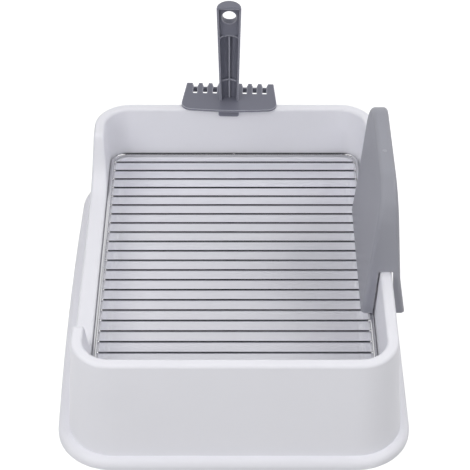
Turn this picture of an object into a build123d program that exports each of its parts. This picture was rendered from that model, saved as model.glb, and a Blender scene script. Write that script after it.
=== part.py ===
from build123d import *
from math import cos, radians, sin, tan
import os

# Litter tray with a lift-out wire grate, a splash guard that straddles one wall and a rake on the back rim.
# Millimetres. X runs across the tray, Y from front to back and Z up. Each piece is drawn about the middle of
# the tray, on the floor. The finished pieces are then moved together, so that the origin is on the floor under
# the middle of the whole object, with the rake that stands out at the back.

# Tray
rim_length = 402.0  # outside, front to back
rim_width = 297.0  # outside, side to side
rim_height = 117.5
rim_corner = 36.5  # outside corner radius in plan
rim_band = 10.7  # width of the rim, from its outer to its inner edge
rim_edge = 3.0  # rounding of the rim's two edges
wall = 2.5  # moulded wall thickness
skirt_flare = 8.8  # how far the skirt leans out on its way down to the floor
foot_step = 8.0  # how far the foot stands out from the skirt
foot_height = 10.0
foot_edge = 7.0  # rounding of the foot's upper edge
foot_bow = 4.4  # how far the foot bows out below the entrance
basin_lean = 2.7  # how far the basin's sides lean in from the rim down to the ledge
ledge_width = 6.0  # the step inside the basin that carries the grate
sump_depth = 30.0  # from the ledge down to the floor of the basin
sump_lean = 2.0  # how far the sump's sides lean in on their way down
sump_edge = 7.0  # rounding between the sump's sides and floor

# Entrance in the left wall
entrance_length = 291.0  # between the two ramps, along the rim
ramp_angle = 70.0  # slope of the ramps, from the horizontal
ramp_top_round = 10.0
ramp_foot_round = 36.0

# Grate
grate_depth = 55.9  # middle of the wires below the rim
grate_corner = 17.5  # outside corner radius
frame_wire = 4.5
rod_wire = 2.2
rod_count = 24
seat_clearance = 0.5  # between the grate and the basin's sides
seat_gap = 0.3  # between the grate and its ledge

# Splash guard
guard_length = 162.6
guard_shift = 7.1  # middle of the guard behind the middle of the tray
guard_rise = 93.0  # top of the guard above the rim
guard_foot_gap = 1.1  # between the guard's feet and the grate
guard_foot_width = 42.0
guard_waist_width = 31.8
guard_waist_rise = 40.0  # height of the waist above the feet
guard_waist_round = 150.0
guard_top_width = 14.8
guard_lean = 1.2  # waist and top of the guard towards the basin
guard_corner = 36.0  # rounding of the two top corners, seen from the side
guard_edge = 4.2  # rounding between the two faces and the ends
guard_wall = 2.2
notch_clearance = 1.4  # between the guard's notches and the sides of the rim
notch_spread = 3.2  # how far each side of a notch spreads on its way down
notch_round = 2.0
rest_gap = 0.2  # between the rim and what hangs on it

# Rake
rake_shift = -6.1  # middle of the rake beside the middle of the tray
rake_turn = 1.9  # degrees that the parked rake is out of square with the rim
blade_overhang = 5.4  # front edge of the blade in front of the rim's inner edge
blade_length = 50.6  # front edge to tooth tips
blade_bow = 3.4  # bulge of the front edge
blade_front_width = 104.4
blade_rear_width = 94.6
blade_corner = 11.0  # rounding of the front corners
blade_thickness = 2.4
blade_skirt = 10.6  # depth of the skirt round the rear of the blade, from the top
blade_skirt_wall = 2.0
tooth_pitch = 10.75
slot_count = 8
slot_width = 4.4
slot_length = 17.1
tooth_notch_width = 6.7  # at the top; the notches narrow to the width of the slots
tooth_notch_depth = 4.8
hook_width = 22.0
hook_thickness = 2.5
hook_drop = 6.7  # front tab, below the top of the rim
hook_round = 2.5
brace_drop = 20.0  # rear leg, below the top of the rim
hook_clearance = 0.8  # between the hook and the wall it straddles

# Handle of the rake
handle_setback = 1.5  # front face behind the rim's outer edge
handle_height = 117.2
handle_foot_width = 20.0
handle_top_width = 25.8
handle_foot_depth = 10.5
handle_top_depth = 14.2
handle_wall = 2.0
handle_cap = 2.5
handle_edge = 1.2  # rounding of the handle's top
rib_thickness = 1.5
rib_setback = 6.5  # front edge of the ribs behind the handle's front face, in the middle
low_rib_rise = 22.5  # lower cross rib above the blade
high_rib_drop = 39.0  # upper cross rib below the handle's top
panel_recess = 5.4  # depth of the flat panel between the upper rib and the cap
hang_hole = 15.4  # in the front panel
hang_hole_rear = 13.4  # where it comes out at the back
hang_hole_drop = 15.4  # middle of the hanging hole below the handle's top

# Places worked out from those sizes
wall_middle = (rim_width - rim_band) / 2
rim_back = rim_length / 2
rim_back_inner = rim_back - rim_band
grate_margin = rim_band + basin_lean + seat_clearance
grate_length = rim_length - 2 * grate_margin
grate_width = rim_width - 2 * grate_margin
grate_height = rim_height - grate_depth
grate_top = grate_height + frame_wire / 2
ledge_height = grate_height - frame_wire / 2 - seat_gap
floor_height = ledge_height - sump_depth
sill_height = grate_top
guard_widths = (guard_foot_width, guard_waist_width, guard_top_width)
blade_front = rim_back_inner - blade_overhang
blade_rear = blade_front + blade_length
high_rib_rise = handle_height - high_rib_drop
hang_hole_rise = handle_height - hang_hole_drop
base_front = -rim_length / 2 - skirt_flare - foot_step
turn = radians(rake_turn)
object_back = rim_back + (blade_rear - rim_back) * cos(turn) + blade_rear_width / 2 * sin(turn)
object_middle = Pos(foot_bow / 2, -(base_front + object_back) / 2, 0)
clear = 40.0  # reach of the cutting tools past what they cut


def outline(length, width, corner, height, bow=0.0):
    """Rounded rectangle at a height; its left side may bow outwards."""
    x, y = width / 2, length / 2
    right = Polyline((-x, -y), (x, -y), (x, y), (-x, y))
    left = ThreePointArc((-x, y), (-x - bow, 0), (-x, -y)) if bow else Line((-x, y), (-x, -y))
    return Pos(0, 0, height) * fillet(make_face(right + left).vertices(), corner)


def offset_outline(length, width, corner, height, grow, bow=0.0):
    """The same outline, moved outwards all round."""
    return outline(length + 2 * grow, width + 2 * grow, corner + grow, height, bow)


def rounded(points, radii):
    """Closed polygon with a radius of its own at each corner; 0 leaves a corner sharp."""
    face = make_face(Polyline(*points, close=True))
    for point, radius in zip(points, radii):
        if radius:
            face = fillet(face.vertices().sort_by_distance(point)[0], radius)
    return face


def skirt_form(inset):
    """Flared outer form of the tray, or the same form moved inwards."""
    top = offset_outline(rim_length, rim_width, rim_corner, rim_height - inset, -inset)
    bottom = offset_outline(rim_length, rim_width, rim_corner, 0, skirt_flare - inset)
    return loft([bottom, top], ruled=True)


def foot_form(inset):
    """Rounded foot round the bottom of the skirt, or the same form moved inwards."""
    grow = skirt_flare + foot_step - inset
    base = offset_outline(rim_length, rim_width, rim_corner, 0, grow, foot_bow)
    block = extrude(base, foot_height - inset)
    return fillet(block.faces().sort_by(Axis.Z)[-1].edges(), foot_edge - inset)


def basin_form(outset):
    """Space inside the tray down to the ledge, and the sump below it, or the same form moved outwards."""
    ledge = (grate_length + 2 * seat_clearance, grate_width + 2 * seat_clearance, grate_corner + seat_clearance)
    rim = (rim_length, rim_width, rim_corner)
    step = ledge_height - outset
    top = offset_outline(*rim, rim_height, outset - rim_band)
    seat = offset_outline(*ledge, step, outset)
    mouth = offset_outline(*ledge, step, outset - ledge_width)
    floor = offset_outline(*ledge, floor_height - outset, outset - ledge_width - sump_lean)
    sump = loft([floor, mouth], ruled=True)
    sump = fillet(sump.faces().sort_by(Axis.Z)[0].edges(), sump_edge + outset)
    return loft([seat, top], ruled=True) + sump


def entrance_form(outset):
    """Dip in the left wall, seen from the side and drawn through it, or the same dip moved outwards."""
    run = (rim_height - sill_height) / tan(radians(ramp_angle))
    ramp_top = entrance_length / 2
    sill_end = ramp_top - run
    above = rim_height + clear
    end = ramp_top + clear
    points = [(-end, rim_height), (-ramp_top, rim_height), (-sill_end, sill_height), (sill_end, sill_height),
              (ramp_top, rim_height), (end, rim_height), (end, above), (-end, above)]
    dip = rounded(points, [0, ramp_top_round, ramp_foot_round, ramp_foot_round, ramp_top_round, 0, 0, 0])
    if outset:
        dip = offset(dip, outset)
    side = Plane.YZ.offset(-rim_width / 2 - clear) * dip
    return extrude(side, clear + rim_band + clear)


def make_tray():
    basin = basin_form(0)
    body = skirt_form(0) + foot_form(0) - basin - entrance_form(0)
    rim_faces = [face for face in body.faces() if face.normal_at().Z > 0.01 and is_rim(face)]
    edges = ShapeList(edge for face in rim_faces for edge in face.edges())
    shared = ShapeList(edge for edge in edges if sum(edge.is_same(other) for other in edges) == 1)
    body = fillet(shared, rim_edge)
    hollow = skirt_form(wall) + foot_form(wall) - basin_form(wall) - entrance_form(wall)
    return body - hollow


def is_rim(face):
    """The rim's own top faces: the flat rim, the ramps, their roundings and the sill."""
    box = face.bounding_box()
    return box.min.Z > grate_height and box.size.Z < rim_height - sill_height + 1


def make_frame():
    path = outline(grate_length - frame_wire, grate_width - frame_wire, grate_corner - frame_wire / 2, grate_height)
    wire = path.wires()[0]
    start = wire.edges().sort_by(Axis.Y)[-1]
    section = Plane(start @ 0.5, z_dir=start % 0.5) * Circle(frame_wire / 2)
    return sweep(section, wire)


def make_rod(index, frame):
    """Rod across the grate, its ends shaped to the frame's wire."""
    pitch = (grate_length - frame_wire) / (rod_count + 1)
    y = (grate_length - frame_wire) / 2 - index * pitch
    rod = Pos(0, y, grate_height) * Rot(0, 90, 0) * Cylinder(rod_wire / 2, grate_width - frame_wire)
    return rod - frame


def saddle_form(inset):
    """Outer form of the guard, or the same form moved inwards and left open below."""
    foot = grate_top + guard_foot_gap
    top = rim_height + guard_rise - inset
    waist = foot + guard_waist_rise
    foot_half, waist_half, top_half = (width / 2 - inset for width in guard_widths)
    section = [(-foot_half, foot), (-waist_half - guard_lean, waist), (-top_half - guard_lean, top),
               (top_half - guard_lean, top), (waist_half - guard_lean, waist), (foot_half, foot)]
    section = rounded(section, [0, guard_waist_round, 0, 0, guard_waist_round, 0])
    half = guard_length / 2 - inset
    side = [(-half, foot), (-half, top), (half, top), (half, foot)]
    corner = guard_corner - inset
    side = rounded(side, [0, corner, corner, 0])
    bar = extrude(Plane.XZ * section, half + clear, both=True)
    block = bar & extrude(Plane.YZ * side, guard_foot_width, both=True)
    flat = block.faces().filter_by(lambda face: abs(face.normal_at().X) > 0.8)
    edges = ShapeList(edge for face in flat for edge in face.edges())
    rims = ShapeList(edge for edge in edges if sum(edge.is_same(other) for other in edges) == 1)
    rims = rims.filter_by(lambda edge: edge.center().Z > foot + 0.01)
    return fillet(rims, guard_edge - inset)


def make_guard():
    foot = grate_top + guard_foot_gap
    shell = saddle_form(0) - saddle_form(guard_wall)
    head = rim_height + rest_gap
    half = rim_band / 2 + notch_clearance
    points = [(-half - notch_spread, foot), (-half, head), (half, head), (half + notch_spread, foot)]
    notch = extrude(Plane.XZ * rounded(points, [0, notch_round, notch_round, 0]), guard_length, both=True)
    return Pos(wall_middle, guard_shift, 0) * (shell - notch)


def make_blade():
    top = rim_height + rest_gap + blade_thickness
    skirt_front = rim_back + hook_clearance + blade_skirt_wall
    left = (-blade_front_width / 2, blade_front + blade_bow)
    right = (blade_front_width / 2, blade_front + blade_bow)
    front_edge = ThreePointArc(left, (0, blade_front), right)
    back_edges = Polyline(right, (blade_rear_width / 2, blade_rear), (-blade_rear_width / 2, blade_rear), left)
    plan = make_face(front_edge + back_edges)
    for corner in (left, right):
        plan = fillet(plan.vertices().sort_by_distance(corner)[0], blade_corner)
    plate = Pos(0, 0, top - blade_thickness) * extrude(plan, blade_thickness)
    deep = Pos(0, 0, top - blade_skirt) * extrude(plan, blade_skirt)
    pocket = Pos(0, 0, top - blade_skirt) * extrude(offset(plan, -blade_skirt_wall), blade_skirt)
    behind = Pos(0, skirt_front + blade_length, top) * Box(2 * blade_front_width, 2 * blade_length, 4 * blade_skirt)
    blade = plate + ((deep - pocket) & behind)
    slot = Box(slot_width, slot_length, 2 * blade_thickness)
    wide, narrow = tooth_notch_width / 2, slot_width / 2
    notch = make_face(Polyline((-wide, 0), (-narrow, -tooth_notch_depth), (narrow, -tooth_notch_depth), (wide, 0),
                               close=True))
    notch = extrude(Plane.XZ * notch, 2 * blade_skirt_wall, both=True)
    for index in range(slot_count):
        x = (index - (slot_count - 1) / 2) * tooth_pitch
        blade -= Pos(x, blade_rear - blade_skirt_wall - slot_length / 2, top) * slot
        blade -= Pos(x, blade_rear, top) * notch
    return blade


def make_hook():
    """Front tab inside the rim and leaning rear leg outside it, below the blade."""
    under = rim_height + rest_gap
    tab_foot = rim_height - hook_drop
    basin_half = grate_length / 2 + seat_clearance
    lean = (rim_back_inner - basin_half) / (rim_height - ledge_height)
    tab_back = rim_back_inner - lean * hook_drop - hook_clearance
    tab = [(-hook_width / 2, under), (-hook_width / 2, tab_foot), (hook_width / 2, tab_foot), (hook_width / 2, under)]
    tab = Plane.XZ.offset(-tab_back) * rounded(tab, [0, hook_round, hook_round, 0])
    slope = skirt_flare / rim_height
    leg_top = rim_back + hook_clearance
    leg_foot = leg_top + slope * brace_drop
    leg = [(leg_top, under), (leg_foot, rim_height - brace_drop),
           (leg_foot + hook_thickness, rim_height - brace_drop), (leg_top + hook_thickness, under)]
    leg = extrude(Plane.YZ * make_face(Polyline(*leg, close=True)), hook_width / 2, both=True)
    return extrude(tab, hook_thickness) + leg


def handle_half_width(rise):
    return (handle_foot_width + (handle_top_width - handle_foot_width) * rise / handle_height) / 2


def handle_section(inset, rise):
    """Half-round section of the handle at a height above the blade, or the same section moved inwards."""
    half = handle_half_width(rise) - inset
    depth = handle_foot_depth + (handle_top_depth - handle_foot_depth) * rise / handle_height - inset
    arc = EllipticalCenterArc((0, 0), half, depth, arc_size=180)
    return Pos(0, 0, rise) * make_face(arc + Line((-half, 0), (half, 0)))


def handle_form(inset, bottom, top):
    """Tapering half-round bar, its flat face to the front, between two heights above the blade."""
    return loft([handle_section(inset, bottom), handle_section(inset, top)], ruled=True)


def make_handle():
    """Trough-shaped handle: its front face is at Y 0 and its foot at Z 0."""
    bar = handle_form(0, 0, handle_height)
    bar = fillet(bar.faces().sort_by(Axis.Z)[-1].edges(), handle_edge)
    ceiling = handle_height - handle_cap
    trough = handle_form(handle_wall, 0, high_rib_rise)
    recess = handle_form(handle_wall, high_rib_rise + rib_thickness, ceiling)
    recess &= Box(2 * handle_top_width, 2 * panel_recess, 4 * handle_height)
    spine = Pos(0, 0, high_rib_rise / 2) * Box(rib_thickness, 4 * handle_top_depth, high_rib_rise)
    shelf = Box(2 * handle_top_width, 4 * handle_top_depth, rib_thickness)
    low_shelf = Pos(0, 0, low_rib_rise + rib_thickness / 2) * shelf
    high_shelf = Pos(0, 0, high_rib_rise + rib_thickness / 2) * shelf
    half = handle_half_width(high_rib_rise) - handle_wall
    scoop_radius = (half ** 2 + rib_setback ** 2) / (2 * rib_setback)
    scoop = Pos(0, rib_setback - scoop_radius, high_rib_rise / 2) * Cylinder(scoop_radius, 2 * handle_height)
    ribs = (spine + low_shelf - scoop) & trough
    hole = Cone(hang_hole_rear / 2, hang_hole / 2, handle_top_depth - panel_recess)
    hole = Pos(0, (handle_top_depth + panel_recess) / 2, hang_hole_rise) * Rot(90, 0, 0) * hole
    return bar - (trough - ribs) - recess - (high_shelf & scoop) - hole


def make_rake():
    foot = rim_height + rest_gap + blade_thickness
    handle = Pos(0, rim_back + handle_setback, foot) * make_handle()
    rake = make_blade() + make_hook() + handle
    return Pos(rake_shift, rim_back, 0) * Rot(0, 0, -rake_turn) * Pos(0, -rim_back, 0) * rake


def save(name, part):
    solids = part.solids()
    print(name, len(solids), round(sum(solid.volume for solid in solids)))
    export_step(object_middle * part, f"parts/{name}.step")


os.makedirs("parts", exist_ok=True)
save("tray_shell", make_tray())
grate_frame = make_frame()
save("grate_frame", grate_frame)
for number in range(1, rod_count + 1):
    save(f"cross_rod_{number:02d}", make_rod(number, grate_frame))
save("splash_guard", make_guard())
save("litter_rake", make_rake())
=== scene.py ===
from math import pi, radians

import bpy
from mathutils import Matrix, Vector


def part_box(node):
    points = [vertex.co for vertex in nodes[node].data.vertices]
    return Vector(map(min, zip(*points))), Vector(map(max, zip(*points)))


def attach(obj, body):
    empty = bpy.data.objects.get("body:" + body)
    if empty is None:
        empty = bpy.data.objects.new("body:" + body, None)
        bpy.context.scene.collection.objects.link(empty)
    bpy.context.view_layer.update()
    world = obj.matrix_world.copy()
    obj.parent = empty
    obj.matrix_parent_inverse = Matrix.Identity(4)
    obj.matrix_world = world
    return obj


# Litter tray with a wire grate, a splash guard on its right wall and a rake on its back rim.
# Metres, in the same frame as the solids: X across, Y from front to back, Z up.

MM = 0.001

# Surface patterns, in millimetres
MELT_FLOW = 55.0  # width of the drift in a moulding's tone
MOULD_GRAIN = 0.9
DIE_MARK = 0.4
EDGE_HIGHLIGHT_REACH = 1.3  # how far the painted edge highlight reaches into the surface

# Finishes
PLASTIC_IOR = 1.49
SATIN_SPREAD = 0.05  # how far a moulding's roughness varies with its grain
EDGE_HIGHLIGHT_FROM = 0.95  # how far the solid behind a point is clear of other faces where the painted highlight starts
EDGE_HIGHLIGHT_FULL = 0.45  # and where it is complete, as on an edge
PLATING_SMOOTH = 0.05  # roughness of the plating where it is smoothest
PLATING_DULL = 0.13  # and where it is dullest

# Welds and gate mark: height and radius in millimetres, from the foot of the form to its top
WELD_OUTLINE = ((1.3, 1.70), (2.0, 1.86), (2.5, 1.66), (2.9, 1.40), (3.4, 1.24), (4.1, 1.13))
WELD_SIDES = 14
BUTT_OUTLINE = ((-1.0, 2.1), (-0.8, 2.27), (-0.4, 2.37), (0.0, 2.41), (0.4, 2.37), (0.8, 2.27), (1.0, 2.1))
BUTT_SIDES = 32
GATE_RING = ((-0.5, 2.1), (0.12, 2.1), (0.25, 1.95), (0.25, 1.65), (0.06, 1.45))
GATE_STUB = ((0.06, 0.62), (0.3, 0.5), (0.38, 0.25))
GATE_SIDES = 28
SMOOTH_BELOW = radians(50)  # edges that bend less than this are shaded smooth

# Places, in millimetres
BUTT_WELD_X = 1.0
GATE_MARK_X = 143.4
GATE_MARK_Y = -16.5

# Studio, in metres
FLOOR_SIZE = 8.0
FLOOR_DROP = 0.0002  # keeps the floor just clear of the tray's foot
PAPER_GLOW = 0.76  # lifts the floor to white where it is seen or mirrored, without lighting the tray
SIDE_PANEL_WIDTH = 1.0
SIDE_PANEL_LENGTH = 2.8
SIDE_PANEL_PLACE = (1.1, -0.7, 1.5)  # of the right one, which the left one mirrors
SIDE_PANEL_TILT = radians(12)
SIDE_PANEL_LEAN = radians(36)
FILL_PANEL_SIZE = 1.9

# Room, by the direction that is looked in
WALLS_END = 0.6  # Z at which the pale walls start to give way to the ceiling
CEILING_START = 0.74  # Z from which the ceiling is dark
BEHIND_START = -0.2  # Y at which the walls start to brighten
BEHIND_FULL = 0.5  # Y from which they are brightest
WALLS_IN_FRONT = 0.25  # their strength in front of the tray, where that behind it is 1
ROOM_AS_LIGHT = 0.35  # share of the room's strength that lights matt surfaces

# Camera at the photograph's angle
CAMERA_PLACE = (0.0024, -1.2214, 1.1174)
CAMERA_TILT = radians(50.018)
CAMERA_LENS = 122.55
SENSOR_WIDTH = 36.0

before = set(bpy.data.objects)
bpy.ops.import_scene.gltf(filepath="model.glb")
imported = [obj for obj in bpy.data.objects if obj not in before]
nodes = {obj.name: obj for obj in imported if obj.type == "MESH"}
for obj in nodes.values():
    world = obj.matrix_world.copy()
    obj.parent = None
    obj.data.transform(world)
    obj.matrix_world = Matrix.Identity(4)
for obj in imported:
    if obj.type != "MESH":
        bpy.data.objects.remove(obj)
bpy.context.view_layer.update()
rods = [name for name in sorted(nodes) if name.startswith("cross_rod")]


# Materials
def colour(code):
    """Linear colour of an sRGB hex code."""
    values = [int(code[i:i + 2], 16) / 255 for i in (0, 2, 4)]
    return [v / 12.92 if v <= 0.04045 else ((v + 0.055) / 1.055) ** 2.4 for v in values] + [1.0]


def add(tree, kind, links=None, **settings):
    """Adds a node. A setting is a property of the node, or else the value of the socket of that name."""
    node = tree.nodes.new(kind)
    for name, value in settings.items():
        if hasattr(node, name):
            setattr(node, name, value)
        else:
            node.inputs[name.replace("_", " ")].default_value = value
    for socket, source in (links or {}).items():
        tree.links.new(source, node.inputs[socket])
    return node


def new_material(name):
    material = bpy.data.materials.new(name)
    material.use_nodes = True
    material.node_tree.nodes.clear()
    return material, material.node_tree


def moulded_polypropylene(name, pale, deep, roughness, grain_depth, edge_highlight=None):
    """Injection-moulded polypropylene from a spark-eroded mould: satin, with a fine even grain that softens
    every highlight, and a faint drift in tone where the melt flowed. The real grain is about 0.2 mm across,
    and is drawn coarser, since at its own size it would not show. Given an edge colour, a painted highlight
    is laid paler along each outer edge, so that a thin rib shows as a light line. The grain's depth is in
    millimetres."""
    material, tree = new_material(name)
    place = add(tree, "ShaderNodeTexCoord").outputs["Object"]
    flow = add(tree, "ShaderNodeTexNoise", {"Vector": place},
               Scale=1 / (MELT_FLOW * MM), Detail=3.0, Roughness=0.45)
    shade = add(tree, "ShaderNodeMix", {"Factor": flow.outputs["Fac"]},
                data_type="RGBA", A=colour(deep), B=colour(pale))
    # Painted edge highlight: a paler colour along outer edges, found by rays into the solid, standing in
    # for the light edges catch
    if edge_highlight:
        near_edge = add(tree, "ShaderNodeAmbientOcclusion",
                        inside=True, only_local=True, samples=8, Distance=EDGE_HIGHLIGHT_REACH * MM)
        edge_highlight_mask = add(tree, "ShaderNodeMapRange", {"Value": near_edge.outputs["AO"]},
                  From_Min=EDGE_HIGHLIGHT_FROM, From_Max=EDGE_HIGHLIGHT_FULL)
        shade = add(tree, "ShaderNodeMix", {"Factor": edge_highlight_mask.outputs["Result"], "A": shade.outputs["Result"]},
                    data_type="RGBA", B=colour(edge_highlight))
    grain = add(tree, "ShaderNodeTexNoise", {"Vector": place},
                Scale=1 / (MOULD_GRAIN * MM), Detail=2.0, Roughness=0.6)
    satin = add(tree, "ShaderNodeMapRange", {"Value": grain.outputs["Fac"]},
                To_Min=roughness - SATIN_SPREAD, To_Max=roughness + SATIN_SPREAD)
    bump = add(tree, "ShaderNodeBump", {"Height": grain.outputs["Fac"]},
               Strength=1.0, Distance=grain_depth * MM)
    plastic = add(tree, "ShaderNodeBsdfPrincipled",
                  {"Base Color": shade.outputs["Result"], "Roughness": satin.outputs["Result"],
                   "Normal": bump.outputs["Normal"]}, IOR=PLASTIC_IOR)
    add(tree, "ShaderNodeOutputMaterial", {"Surface": plastic.outputs["BSDF"]})
    return material


def plated_wire(name, stretch, pale, deep):
    """Drawn steel wire with a bright nickel plating: a near mirror of a neutral grey, broken up by the
    marks of the drawing die. They are about 0.1 mm apart, and are drawn coarser so that they show. Along a
    straight rod they are stretched into lines, and on the bent frame they stay a fine mottle."""
    material, tree = new_material(name)
    place = add(tree, "ShaderNodeTexCoord").outputs["Object"]
    along = add(tree, "ShaderNodeMapping", {"Vector": place}, Scale=stretch)
    marks = add(tree, "ShaderNodeTexNoise", {"Vector": along.outputs["Vector"]},
                Scale=1 / (DIE_MARK * MM), Detail=2.0)
    gloss = add(tree, "ShaderNodeMapRange", {"Value": marks.outputs["Fac"]},
                To_Min=PLATING_SMOOTH, To_Max=PLATING_DULL)
    tone = add(tree, "ShaderNodeMix", {"Factor": marks.outputs["Fac"]},
               data_type="RGBA", A=colour(deep), B=colour(pale))
    metal = add(tree, "ShaderNodeBsdfPrincipled",
                {"Base Color": tone.outputs["Result"], "Roughness": gloss.outputs["Result"]}, Metallic=1.0)
    add(tree, "ShaderNodeOutputMaterial", {"Surface": metal.outputs["BSDF"]})
    return material


def studio_floor():
    """Seamless white paper. It takes a soft shadow and otherwise shows as plain white."""
    material, tree = new_material("white_paper_floor")
    path = add(tree, "ShaderNodeLightPath").outputs
    seen = add(tree, "ShaderNodeMath", {0: path["Is Camera Ray"], 1: path["Is Glossy Ray"]},
               operation="ADD", use_clamp=True)
    seen_all = add(tree, "ShaderNodeMath", {0: seen.outputs["Value"], 1: path["Is Transmission Ray"]},
                   operation="ADD", use_clamp=True)
    lift = add(tree, "ShaderNodeMapRange", {"Value": seen_all.outputs["Value"]},
               To_Min=0.0, To_Max=PAPER_GLOW)
    paper = add(tree, "ShaderNodeBsdfDiffuse", Color=colour("c0c0c0"))
    glow = add(tree, "ShaderNodeEmission", {"Strength": lift.outputs["Result"]})
    both = add(tree, "ShaderNodeAddShader", {0: paper.outputs["BSDF"], 1: glow.outputs["Emission"]})
    add(tree, "ShaderNodeOutputMaterial", {"Surface": both.outputs["Shader"]})
    return material


def dress(name, material):
    """Gives a solid its material."""
    slots = nodes[name].data.materials
    slots.clear()
    slots.append(material)


white_plastic = moulded_polypropylene("white_polypropylene_moulded", pale="f8f8fe", deep="f4f4fa",
                                      roughness=0.46, grain_depth=0.012)
# The guard and the rake take a painted edge highlight along their outer edges.
grey_plastic = moulded_polypropylene("grey_polypropylene_moulded", pale="a2a3ac", deep="9c9da6",
                                     roughness=0.42, grain_depth=0.015, edge_highlight="b0b1b9")
dark_plastic = moulded_polypropylene("dark_grey_polypropylene_moulded", pale="7b7c89", deep="737481",
                                     roughness=0.40, grain_depth=0.015, edge_highlight="b8b9c4")
# Painted shade: the rods take the frame's nickel plating in a darker tone, to darken them along their
# length.
rod_metal_painted_darker = plated_wire("nickel_plated_rod_wire_painted_darker", stretch=(0.02, 1.0, 1.0), pale="b0b0b4", deep="a0a0a5")
frame_metal = plated_wire("nickel_plated_frame_wire", stretch=(1.0, 1.0, 1.0), pale="dcdcdd", deep="cfcfd1")

dress("tray_shell", white_plastic)
dress("grate_frame", frame_metal)
for rod in rods:
    dress(rod, rod_metal_painted_darker)
dress("splash_guard", grey_plastic)
dress("litter_rake", dark_plastic)


# Small pieces
def pick(piece):
    """Selects one piece and nothing else."""
    bpy.ops.object.select_all(action="DESELECT")
    piece.select_set(True)
    bpy.context.view_layer.objects.active = piece


def turned_form(name, outline, sides):
    """Round form about Z, drawn up step by step along its outline."""
    foot_height, foot_radius = outline[0]
    bpy.ops.object.select_all(action="DESELECT")
    bpy.ops.mesh.primitive_circle_add(vertices=sides, radius=foot_radius * MM, fill_type="NGON")
    form = bpy.context.object
    form.name = name
    bpy.ops.object.mode_set(mode="EDIT")
    bpy.ops.mesh.select_all(action="SELECT")
    bpy.ops.transform.translate(value=(0, 0, foot_height * MM))
    for (low, wide), (high, slim) in zip(outline, outline[1:]):
        bpy.ops.mesh.extrude_region_move(TRANSFORM_OT_translate={"value": (0, 0, (high - low) * MM)})
        bpy.ops.transform.resize(value=(slim / wide, slim / wide, 1.0), center_override=(0, 0, high * MM))
    bpy.ops.mesh.select_all(action="SELECT")
    bpy.ops.mesh.normals_make_consistent(inside=False)
    bpy.ops.object.mode_set(mode="OBJECT")
    bpy.ops.object.shade_smooth_by_angle(angle=SMOOTH_BELOW)
    return form


def copy_of(piece, name):
    pick(piece)
    bpy.ops.object.duplicate()
    bpy.context.object.name = name
    return bpy.context.object


def settle(piece, place, lean, material, body):
    """Leans a piece over about Y, puts it in its place, all in its mesh, and lets it ride on its body."""
    pick(piece)
    piece.location = place
    piece.rotation_euler = (0, lean, 0)
    bpy.ops.object.transform_apply(location=True, rotation=True, scale=True)
    piece.data.materials.append(material)
    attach(piece, body)


frame_low, frame_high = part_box("grate_frame")
wire_radius = (frame_high[2] - frame_low[2]) / 2
wire_height = (frame_high[2] + frame_low[2]) / 2
left_wire = frame_low[0] + wire_radius
right_wire = frame_high[0] - wire_radius
back_wire = frame_high[1] - wire_radius
towards_right = radians(90)
towards_left = radians(-90)

# Fillet of weld metal round each end of each rod, where it meets the frame wire
weld = turned_form("weld", WELD_OUTLINE, WELD_SIDES)
for rod in rods:
    rod_low, rod_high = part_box(rod)
    rod_middle = (rod_low[1] + rod_high[1]) / 2
    number = rod[-2:]
    left_weld = copy_of(weld, f"weld_left_{number}")
    left_place = (left_wire, rod_middle, wire_height)
    settle(left_weld, left_place, towards_right, frame_metal, "grate")
    right_weld = copy_of(weld, f"weld_right_{number}")
    right_place = (right_wire, rod_middle, wire_height)
    settle(right_weld, right_place, towards_left, frame_metal, "grate")
bpy.data.objects.remove(weld)

# Butt weld that closes the frame wire, ground down to a low band in the middle of the back bar
butt_weld = turned_form("frame_butt_weld", BUTT_OUTLINE, BUTT_SIDES)
butt_place = (BUTT_WELD_X * MM, back_wire, wire_height)
settle(butt_weld, butt_place, towards_right, frame_metal, "grate")

# Mark of the mould's gate on top of the guard: a low ring with the trimmed stub inside it
guard_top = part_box("splash_guard")[1][2]
gate_mark = turned_form("guard_gate_mark", GATE_RING + GATE_STUB, GATE_SIDES)
gate_place = (GATE_MARK_X * MM, GATE_MARK_Y * MM, guard_top)
settle(gate_mark, gate_place, 0, grey_plastic, "guard")

# Floor
bpy.ops.object.select_all(action="DESELECT")
bpy.ops.mesh.primitive_plane_add(size=FLOOR_SIZE, location=(0, 0, -FLOOR_DROP))
floor = bpy.context.object
floor.name = "floor"
floor.data.materials.append(studio_floor())

# Room: pale low down and brightest behind the tray, under a dark ceiling that draws the dark line along the
# wires. It is dimmed for what it lights, since the panels light the tray.
world = bpy.data.worlds.new("studio")
bpy.context.scene.world = world
world.use_nodes = True
room = world.node_tree
direction = add(room, "ShaderNodeTexCoord").outputs["Generated"]
reach = add(room, "ShaderNodeSeparateXYZ", {"Vector": direction}).outputs
ceiling = add(room, "ShaderNodeMapRange", {"Value": reach["Z"]}, interpolation_type="SMOOTHSTEP",
              From_Min=WALLS_END, From_Max=CEILING_START, To_Min=1.0, To_Max=0.0)
behind = add(room, "ShaderNodeMapRange", {"Value": reach["Y"]}, interpolation_type="SMOOTHSTEP",
             From_Min=BEHIND_START, From_Max=BEHIND_FULL, To_Min=WALLS_IN_FRONT, To_Max=1.0)
walls = add(room, "ShaderNodeMath", {0: ceiling.outputs["Result"], 1: behind.outputs["Result"]},
            operation="MULTIPLY")
lighting = add(room, "ShaderNodeLightPath").outputs["Is Diffuse Ray"]
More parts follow.
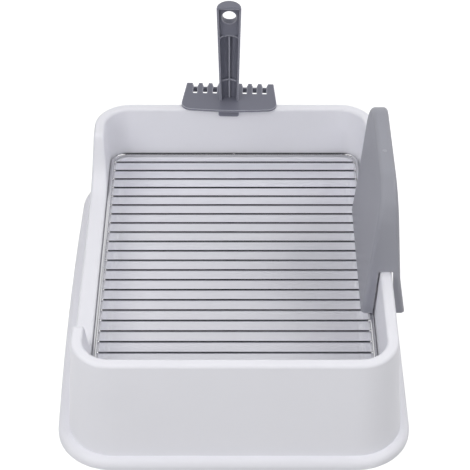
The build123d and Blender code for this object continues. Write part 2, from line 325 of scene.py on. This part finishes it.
dimmed = add(room, "ShaderNodeMapRange", {"Value": lighting}, To_Min=1.0, To_Max=ROOM_AS_LIGHT)
strength = add(room, "ShaderNodeMath", {0: walls.outputs["Value"], 1: dimmed.outputs["Result"]},
               operation="MULTIPLY")
background = room.nodes["Background"]
room.links.new(strength.outputs["Value"], background.inputs["Strength"])
background.inputs["Color"].default_value = colour("fcfcff")


# Panels
def panel(name, place, turn, width, length, brightness):
    """Soft light panel. Its brightness is that of its face, where 1 is white."""
    bpy.ops.object.light_add(type="AREA", location=place, rotation=turn)
    lamp = bpy.context.object
    lamp.name = name
    lamp.data.shape = "RECTANGLE"
    lamp.data.size = width
    lamp.data.size_y = length
    lamp.data.energy = pi * width * length * brightness
    return lamp


def side_panel(name, side, brightness):
    """Long panel above the tray and to one side, turned towards it. The wires mirror it."""
    across, along, height = SIDE_PANEL_PLACE
    place = (side * across, along, height)
    turn = (SIDE_PANEL_TILT, side * SIDE_PANEL_LEAN, 0)
    panel(name, place, turn, SIDE_PANEL_WIDTH, SIDE_PANEL_LENGTH, brightness)


def fill_panel(name, place, tilt, swing, brightness):
    """Broad panel that lights the basin evenly and leaves no streak on the wires. Angles are in degrees."""
    turn = (radians(tilt), 0, radians(swing))
    lamp = panel(name, place, turn, FILL_PANEL_SIZE, FILL_PANEL_SIZE, brightness)
    lamp.visible_glossy = False


side_panel("left_panel", side=-1, brightness=1.3)
side_panel("right_panel", side=1, brightness=1.7)
fill_panel("front_fill", place=(-0.75, -1.45, 1.3), tilt=52, swing=-28, brightness=1.3)
fill_panel("top_fill", place=(-0.05, 0.1, 1.9), tilt=0, swing=0, brightness=0.4)
fill_panel("back_fill", place=(0.9, 1.1, 1.35), tilt=-47, swing=-39, brightness=0.65)

# Camera
bpy.ops.object.camera_add(location=CAMERA_PLACE, rotation=(CAMERA_TILT, 0, 0))
camera = bpy.context.object
camera.data.lens = CAMERA_LENS
camera.data.sensor_width = SENSOR_WIDTH
bpy.context.scene.camera = camera
bpy.context.scene.view_settings.view_transform = "Standard"
